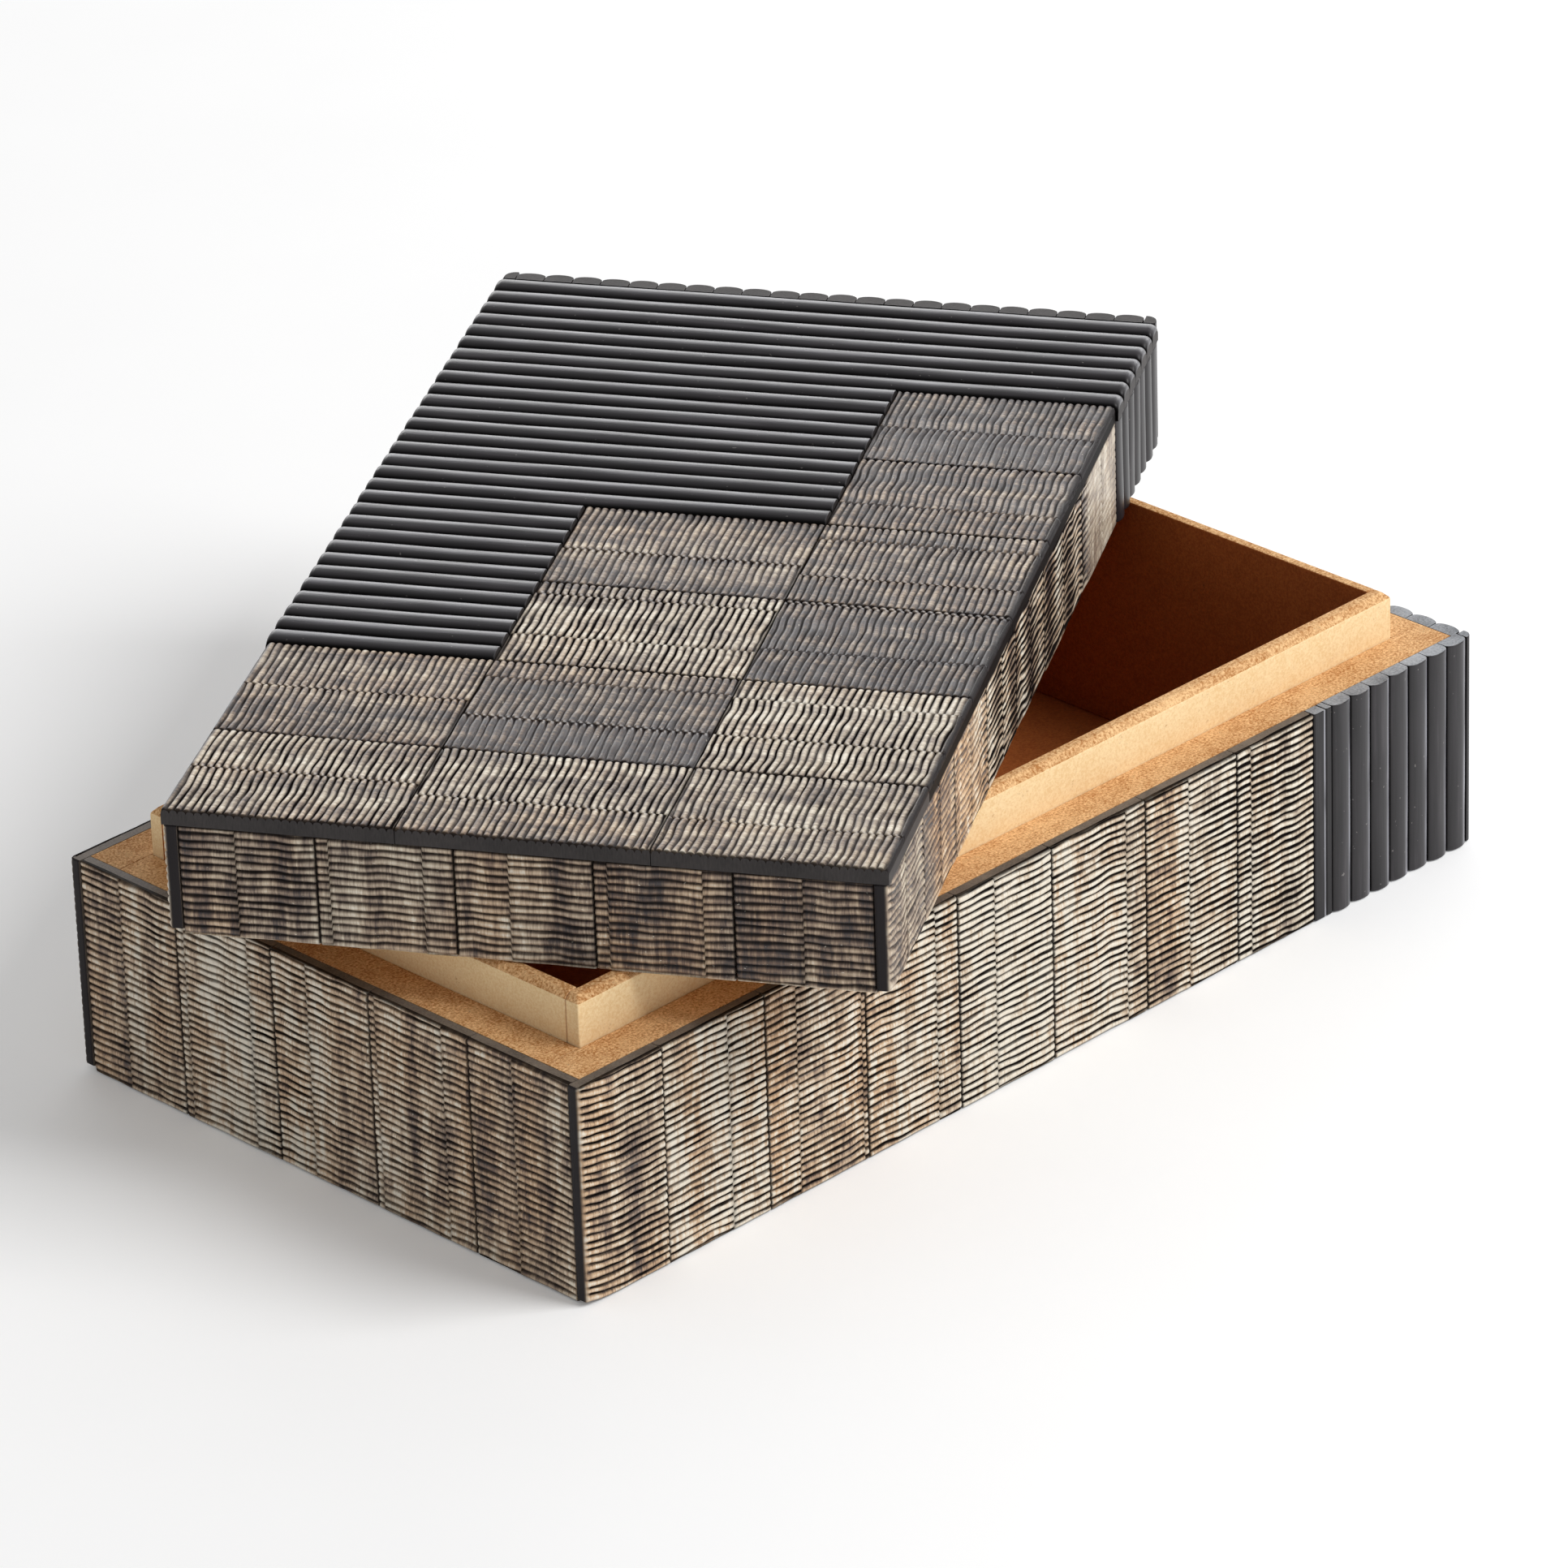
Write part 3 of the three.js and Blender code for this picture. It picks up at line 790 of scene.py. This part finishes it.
@dataclass
class Tile:
    """A tile's name, its CAD node, and its low and high corner in the body's frame."""

    name: str
    node: str
    low: np.ndarray
    high: np.ndarray


def tiles_of(side, count):
    names = [f"{side}_{i + 1}" for i in range(count)]
    return [Tile(name, name, *local_box(name)) for name in names]


def left_tiles(body):
    """The CAD holds the left side's tiles as one slab. Here they are separate."""
    node = f"{body}_left_tiles"
    low, high = local_box(node)
    starts = [low[0], *(low[0] + seam for seam in LEFT_SEAMS[body])]
    stops = [*(start - TILE_GAP for start in starts[1:]), high[0]]
    tiles = []
    for i, (start, stop) in enumerate(zip(starts, stops)):
        corners = np.array([start, *low[1:]]), np.array([stop, *high[1:]])
        tiles.append(Tile(f"{body}_left_tile_{i + 1}", node, *corners))
    return tiles


def add_tile(body, tile, course, axis, pattern, seams, margins=(0.0, 0.0), edge_horn=EDGE_HORN):
    slab = carve(course, axis, tile.low, tile.high, pattern, seams, margins)
    make_piece(f"{tile.name}_carved", body, [slab], [CARVED, edge_horn], [tile.node])


def side_tiles(body, pattern_name, sign, tiles, seams):
    """The tiles along a long side, whose outside lies at sign along Y. The first one wraps the
    corner of the front."""
    front = tiles[0].low[0]
    for position, tile in enumerate(tiles):
        pattern = PATTERNS[pattern_name].for_tile(position)
        start, stop = tile.low[0], tile.high[0]
        outside = tile.high[1] if sign > 0 else -tile.low[1]
        if position == 0:
            course = corner_course(start, outside, stop, sign, pattern)
        else:
            course = straight_course((start, sign * outside, 0.0), (1, 0, 0), (0, sign, 0),
                                     stop - start, start - front, pattern)
        add_tile(body, tile, course, 2, pattern, seams)


def front_tiles(body):
    left_end = local_box(f"{body}_left_tiles")[1][1]
    tiles = tiles_of(f"{body}_front_tile", 5)
    seams = [left_end - tile.high[1] for tile in tiles]
    for position, (tile, seam) in enumerate(zip(tiles, seams)):
        pattern = PATTERNS[f"{body}_front"].for_tile(position)
        course = straight_course((tile.low[0], tile.high[1], 0.0), (0, -1, 0), (-1, 0, 0),
                                 tile.high[1] - tile.low[1], seam, pattern)
        add_tile(body, tile, course, 2, pattern, seams)


def top_tiles(column, count):
    tiles = tiles_of(f"lid_top_tile_{column}", count)
    seams = [tile.low[0] - tiles[0].low[0] for tile in tiles]
    margins = (RIGHT_MARGIN if column == "right" else 0.0, LEFT_MARGIN if column == "left" else 0.0)
    for position, (tile, seam) in enumerate(zip(tiles, seams)):
        pattern = PATTERNS[f"top_{column}"].for_tile(position)
        course = straight_course((tile.low[0], 0.0, tile.high[2]), (1, 0, 0), UP,
                                 tile.high[0] - tile.low[0], seam, pattern, TOP_THICKNESS)
        # Past the first tile, the right column's cut edges take SHADED_HORN: painted shadow in the gap
        # against the side tiles and in the joints between these tiles.
        edge_horn = SHADED_HORN if column == "right" and position > 0 else POLISHED_HORN
        add_tile("lid", tile, course, 1, pattern, seams, margins, edge_horn)


# ---- Reeds ----


def loft_faces(sections, ring):
    """The quads between a loft's rings of vertices, and its two end caps."""
    index = np.arange(sections * ring).reshape(sections, ring)
    following = np.roll(index, -1, axis=1)
    quads = np.stack([index[:-1], following[:-1], following[1:], index[1:]], axis=-1)
    return quads.reshape(-1, 4).tolist() + [index[0, ::-1].tolist(), index[-1].tolist()]


def horn_strip(vertices, faces, smooth, grain, groove, wear_and_highlight):
    """A closed strip whose last two faces are its sawn ends."""
    return {
        "vertices": vertices,
        "faces": faces,
        "smooth": smooth,
        "slots": [0] * (len(faces) - 2) + [1, 1],
        "attributes": {"grain": grain, "groove": groove, "wear_and_highlight": wear_and_highlight},
    }


def add_strips(node, body, parts):
    make_piece(f"{node}_strips", body, parts, [BLACK, REED_ENDS[body]], [node])


def reed_section(along, length, width, crest, seed, round_ends):
    """The places across and the heights of a reed's rounded face, at each distance along it."""
    rng = np.random.default_rng(seed)
    sagitta = REED_SAGITTA * rng.uniform(0.92, 1.06)
    lean = rng.uniform(-0.04, 0.04)
    x = -np.cos(np.linspace(0, math.pi, REED_ARC_STEPS))
    arc = sagitta * ((1 - np.abs(x) ** 2.3) ** 0.6 + lean * x)
    arc[[0, -1]] = -REED_FLANK_DEPTH
    sway = 0.1 * wander(along, 35.0, seed)[:, None]
    swell = 0.07 * wander(along, 22.0, seed + 1)[:, None]
    drop = np.zeros(len(along))
    for is_round, distance in zip(round_ends, (along, length - along)):
        cut = 0.8 * rounding(distance, REED_CUT_ROUNDING)
        drop = drop + (rounding(distance, REED_END_RADIUS) if is_round else cut)
    across = x * (width - REED_GAP) / 2 + sway * (1 - x**2)
    height = crest - REED_SAGITTA + arc * (1 + swell) - drop[:, None]
    return across, np.minimum(height, crest + REED_OVERSHOOT)


def reed(start, length, width, back, crest, axes, seed, look, round_ends=(False, False)):
    """One half-round strip. start is the middle of its back at one end, and axes are its
    directions along, across and outward. back and crest are heights along outward."""
    reach = REED_END_SAMPLES[-1]
    middle = np.arange(reach + REED_STATION, length - reach - REED_STATION / 2, REED_STATION)
    along = np.concatenate([REED_END_SAMPLES, middle, (length - REED_END_SAMPLES)[::-1]])
    across, height = reed_section(along, length, width, crest, seed, round_ends)
    side = np.full((len(along), 1), (width - REED_GAP) / 2)
    foot = np.full((len(along), 1), back)
    across = np.hstack([-side, across, side])
    height = np.hstack([foot, height, foot])
    places = np.stack(np.broadcast_arrays(along[:, None], across, height), axis=-1)
    axes = np.array(axes, float)
    ring = REED_ARC_STEPS + 2
    faces = loft_faces(len(along), ring)
    if np.linalg.det(axes) > 0:
        faces = [f[::-1] for f in faces]
    on_arc = [1 <= i < REED_ARC_STEPS for i in range(ring)]
    # Painted shade on the flanks, darkest at the groove, and without gloss in the shader.
    shade = np.zeros((len(along), ring))
    for step, darkness in enumerate((1.0, *look["flanks"])):
        shade[:, [step, ring - 1 - step]] = darkness
    # A painted highlight along the crest and on one of the flanks.
    wear_and_highlight = np.zeros((len(along), ring))
    first = REED_ARC_STEPS // 2 - 1
    wear_and_highlight[:, first:first + len(look["wear_and_highlight"])] = look["wear_and_highlight"]
    wear_and_highlight = wear_and_highlight * (0.75 + 0.35 * wander(along, 6.0, seed + 2))[:, None]
    grain = np.stack(np.broadcast_arrays(across * MM, along[:, None] * MM, seed * 0.173), axis=-1)
    vertices = (np.array(start) + places @ axes).reshape(-1, 3)
    smooth = on_arc * (len(along) - 1) + [False, False]
    return horn_strip(vertices, faces, smooth, grain.reshape(-1, 3), shade.ravel(), wear_and_highlight.ravel())


def prism(outline, low, high, seed, worn=(), shade=0.0):
    """An upright strip with this outline, counter-clockwise from above. worn are the numbers of the
    outline's worn corners."""
    outline = np.array(outline, float)
    count = len(outline)
    middle = outline.mean(axis=0)
    tapered = middle + (outline - middle) * PRISM_TAPER
    heights = (low, low + PRISM_BEVEL, high - PRISM_BEVEL, high)
    rings = zip((tapered, outline, outline, tapered), heights)
    vertices = np.concatenate([np.column_stack([ring, np.full(count, z)]) for ring, z in rings])
    faces = loft_faces(4, count)
    wear_and_highlight = np.tile(np.isin(np.arange(count), worn) * EDGE_WEAR, 4)
    own, groove = np.full(4 * count, seed * 0.3), np.full(4 * count, shade)
    grain = np.column_stack([vertices[:, 0] * MM, vertices[:, 2] * MM, own])
    return horn_strip(vertices, faces, [False] * len(faces), grain, groove, wear_and_highlight)


def reed_field_end(body):
    """Where the side reeds stop, at the corner reed of the back."""
    if body == "lid":
        return local_box("lid_top_reeds")[1][0]
    return local_box("base_back_reeds")[1][0] - BASE_CORNER_REACH


def side_reeds(body, side, count, sign, seed):
    """The upright reeds of a long side, and the flat strips that fill what is left before them."""
    node = f"{body}_{side}_reeds"
    low, high = local_box(node)
    crest = high[1] if sign > 0 else -low[1]
    tile_low, tile_high = local_box(f"{body}_left_tiles" if side == "left" else f"{body}_right_tile_1")
    face = tile_high[1] if sign > 0 else -tile_low[1]
    back = face - TILE_THICKNESS
    end = reed_field_end(body)
    axes = (UP, (1, 0, 0), (0, sign, 0))
    parts = []
    for i in range(count):
        start = (end - (i + 0.5) * REED_PITCH, 0, low[2])
        parts.append(reed(start, high[2] - low[2], REED_PITCH, back, crest, axes, seed + i, SIDE_LOOK))
    first_reed = end - count * REED_PITCH
    if low[0] < first_reed - 1:
        joint = low[0] + SPACER_STRIP
        strips = ((low[0], joint - SPACER_GAP), (joint + SPACER_GAP, first_reed - REED_JOINT))
        for i, (start, stop) in enumerate(strips):
            outline, worn = strip_outline(start, stop, back, face, sign)
            worn = worn if i == 0 else ()
            parts.append(prism(outline, low[2], high[2], seed + 50 + start, worn, SPACER_SHADE))
    add_strips(node, body, parts)


def strip_outline(start, stop, inside, outside, sign):
    """A flat strip's outline, and the numbers of the corners of its worn edge, nearer the back."""
    cut, worn_reach, front_cut = 0.15, 0.6, 0.3
    points = [(start, inside), (stop, inside), (stop, outside - cut), (stop - cut, outside),
              (stop - worn_reach, outside), (stop - worn_reach - cut, outside),
              (start + front_cut, outside), (start, outside - front_cut)]
    worn = [3, 4]
    points = [(x, sign * y) for x, y in points]
    if sign < 0:
        points = points[::-1]
        worn = [len(points) - 1 - i for i in worn]
    return points, worn


def back_reeds(body, seed):
    """The reeds across the back, with a narrow rounded one at each corner."""
    node = f"{body}_back_reeds"
    low, high = local_box(node)
    back = local_box(f"{body}_wall_back")[1][0] + TILE_GAP
    edge = high[1] - CORNER_REED
    pitch = 2 * edge / BACK_REEDS
    axes = (UP, (0, 1, 0), (1, 0, 0))
    parts = []
    for i in range(BACK_REEDS):
        start = (0, -edge + (i + 0.5) * pitch, low[2])
        parts.append(reed(start, high[2] - low[2], pitch, back, high[0], axes, seed + i, SIDE_LOOK))
    start = reed_field_end(body) + CORNER_GAP
    radius = min(high[0] - start, CORNER_REED - CORNER_GAP) * 0.95
    quarter = np.linspace(0, math.pi / 2, 9)
    outline = [(start, edge + CORNER_GAP), (high[0], edge + CORNER_GAP)]
    outline += [(high[0] - radius * (1 - math.cos(a)), high[1] - radius * (1 - math.sin(a)))
                for a in quarter]
    outline.append((start, high[1]))
    for sign in (1, -1):
        points = [(x, sign * y) for x, y in outline][::sign]
        parts.append(prism(points, low[2], high[2], seed + 30 + sign, shade=CORNER_SHADE))
    add_strips(node, body, parts)


def top_reeds():
    """The reeds across the lid's top: the back ones over its whole width, the next over two
    columns, and the front ones over the left column."""
    low, high = local_box("lid_top_reeds")
    column = local_box("lid_top_tile_left_1")[0][1]
    axes = ((0, 1, 0), (1, 0, 0), UP)
    parts = []
    for i in range(LEFT_REEDS):
        whole = i < RIGHT_REEDS
        end = (-high[1] if whole else -column if i < MIDDLE_REEDS else column) + CORNER_GAP
        start = (high[0] - (i + 0.5) * REED_PITCH, end, 0)
        parts.append(reed(start, high[1] - end, REED_PITCH, low[2], high[2], axes, 300 + i, TOP_LOOK,
                          (whole, True)))
    add_strips("lid_top_reeds", "lid", parts)


# ---- Boards ----


def lip_board(side, outward):
    """A locating board. Its upper edge is chamfered outside and, on a long board, at its ends."""
    node = f"lip_board_{side}"
    low, high = local_box(node)
    long = outward[0] == 0
    cut_low = [LIP_CHAMFER * (outward[axis] < 0 or (long and axis == 0)) for axis in range(2)]
    cut_high = [LIP_CHAMFER * (outward[axis] > 0 or (long and axis == 0)) for axis in range(2)]
    levels = [
        (low[2], low[:2], high[:2]),
        (high[2] - LIP_CHAMFER, low[:2], high[:2]),
        (high[2], low[:2] + cut_low, high[:2] - cut_high),
    ]
    vertices = []
    for z, a, b in levels:
        vertices += [(a[0], a[1], z), (b[0], a[1], z), (b[0], b[1], z), (a[0], b[1], z)]
    pale, raw, dark = 0, 1, 2
    faces, slots = [[3, 2, 1, 0], [8, 9, 10, 11]], [pale, raw]
    for level in (0, 4):
        for i, normal in enumerate(((0, -1), (1, 0), (0, 1), (-1, 0))):
            j = (i + 1) % 4
            faces.append([level + i, level + j, level + 4 + j, level + 4 + i])
            # Faces inside the box take the darker board: painted shade.
            inner = np.dot(normal, outward) < 0
            slots.append(dark if inner else raw if level == 4 else pale)
    part = {"vertices": np.array(vertices), "faces": faces, "smooth": [False] * len(faces),
            "slots": slots, "attributes": {}}
    piece = make_piece(f"{node}_chamfered", "base", [part], [PALE_BOARD, RAW_BOARD, SHADE_DARKENED_BOARD],
                       [node])
    soften(piece, LIP_BEVEL)


def soften(piece, width):
    bevel = piece.modifiers.new("soft_edges", "BEVEL")
    bevel.width = width * MM
    bevel.segments = 2
    bevel.limit_method = "ANGLE"
    bevel.angle_limit = math.radians(25)


def finish_boards():
    """The walls, the floor and the lid's panel keep the CAD's shapes."""
    for name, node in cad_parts.items():
        if "_wall_" in name or name in ("base_floor", "lid_panel"):
            # The base's floor takes the darker board: painted shade inside the box.
            material = SHADE_DARKENED_BOARD if name == "base_floor" else RAW_BOARD
            if not node.material_slots:
                node.data.materials.append(material)
            for slot in node.material_slots:
                slot.material = material
            soften(node, BOARD_BEVEL)


# ---- Studio ----


def direction_from(heading, elevation):
    h, e = math.radians(heading), math.radians(elevation)
    return Vector((math.cos(h) * math.cos(e), math.sin(h) * math.cos(e), math.sin(e)))


def add_camera():
    data = bpy.data.cameras.new("camera")
    data.lens = CAMERA_LENS
    data.sensor_width = 36.0
    data.clip_start, data.clip_end = 0.1, 20.0
    camera = bpy.data.objects.new("camera", data)
    bpy.context.scene.collection.objects.link(camera)
    look = direction_from(CAMERA_HEADING, -CAMERA_ELEVATION)
    level_right = look.cross(Vector(UP)).normalized()
    level_up = level_right.cross(look)
    roll = math.radians(CAMERA_ROLL)
    right = level_right * math.cos(roll) + level_up * math.sin(roll)
    up = level_up * math.cos(roll) - level_right * math.sin(roll)
    rotation = Matrix((right, up, -look)).transposed().to_4x4()
    place = (Vector(CAMERA_TARGET) - look * CAMERA_DISTANCE) * MM
    camera.matrix_world = Matrix.Translation(place) @ rotation
    bpy.context.scene.camera = camera


def add_softbox(name, heading, elevation, distance, width, height, power):
    data = bpy.data.lights.new(name, "AREA")
    data.shape = "RECTANGLE"
    data.size, data.size_y, data.energy = width, height, power
    light = bpy.data.objects.new(name, data)
    bpy.context.scene.collection.objects.link(light)
    away = direction_from(heading, elevation)
    light.location = away * distance
    light.rotation_mode = "QUATERNION"
    light.rotation_quaternion = away.to_track_quat("Z", "Y")


def add_floor():
    corners = [(-1, -1), (1, -1), (1, 1), (-1, 1)]
    mesh = bpy.data.meshes.new("floor")
    mesh.from_pydata([(x * FLOOR_REACH, y * FLOOR_REACH, 0) for x, y in corners], [], [[0, 1, 2, 3]])
    floor = bpy.data.objects.new("floor", mesh)
    bpy.context.scene.collection.objects.link(floor)
    floor.location.z = -FLOOR_DROP
    s = Shader("floor", 0.9, 0.1)
    grainy = s.noise(s.node("ShaderNodeTexCoord").outputs["Object"], 12.0)
    s.surface.inputs["Emission Color"].default_value = s.grey(1.0)
    s.surface.inputs["Emission Strength"].default_value = FLOOR_GLOW
    mesh.materials.append(s.finish(s.ramp(grainy, [(0.2, s.grey(0.94)), (0.8, s.grey(0.96))])))


def add_studio():
    world = bpy.data.worlds.new("studio")
    bpy.context.scene.world = world
    world.use_nodes = True
    background = world.node_tree.nodes["Background"]
    background.inputs["Color"].default_value = (1.0, 1.0, 1.0, 1.0)
    background.inputs["Strength"].default_value = 0.4
    add_softbox("key", heading=-60, elevation=45, distance=2.2, width=1.3, height=1.0, power=36)
    add_softbox("back", heading=38, elevation=15, distance=2.4, width=3.0, height=1.0, power=27)
    add_floor()
    view = bpy.context.scene.view_settings
    view.view_transform = "Standard"
    view.look = "None"


add_camera()
for body_name, right_seams in RIGHT_SEAMS.items():
    right_tiles = tiles_of(f"{body_name}_right_tile", len(right_seams) + 1)
    side_tiles(body_name, f"{body_name}_right", -1, right_tiles, right_seams)
for body_name in ("base", "lid"):
    side_tiles(body_name, "left", 1, left_tiles(body_name), LEFT_SEAMS[body_name])
for body_name in ("base", "lid"):
    front_tiles(body_name)
for tile_column, tile_count in (("left", 2), ("middle", 4), ("right", 6)):
    top_tiles(tile_column, tile_count)
for reed_seed, body_name in ((100, "base"), (200, "lid")):
    side_reeds(body_name, "right", RIGHT_REEDS, -1, reed_seed)
    side_reeds(body_name, "left", LEFT_REEDS, 1, reed_seed + 10)
    back_reeds(body_name, reed_seed + 45)
top_reeds()
for lip_side, outward_xy in LIP_SIDES.items():
    lip_board(lip_side, outward_xy)
finish_boards()
add_studio()
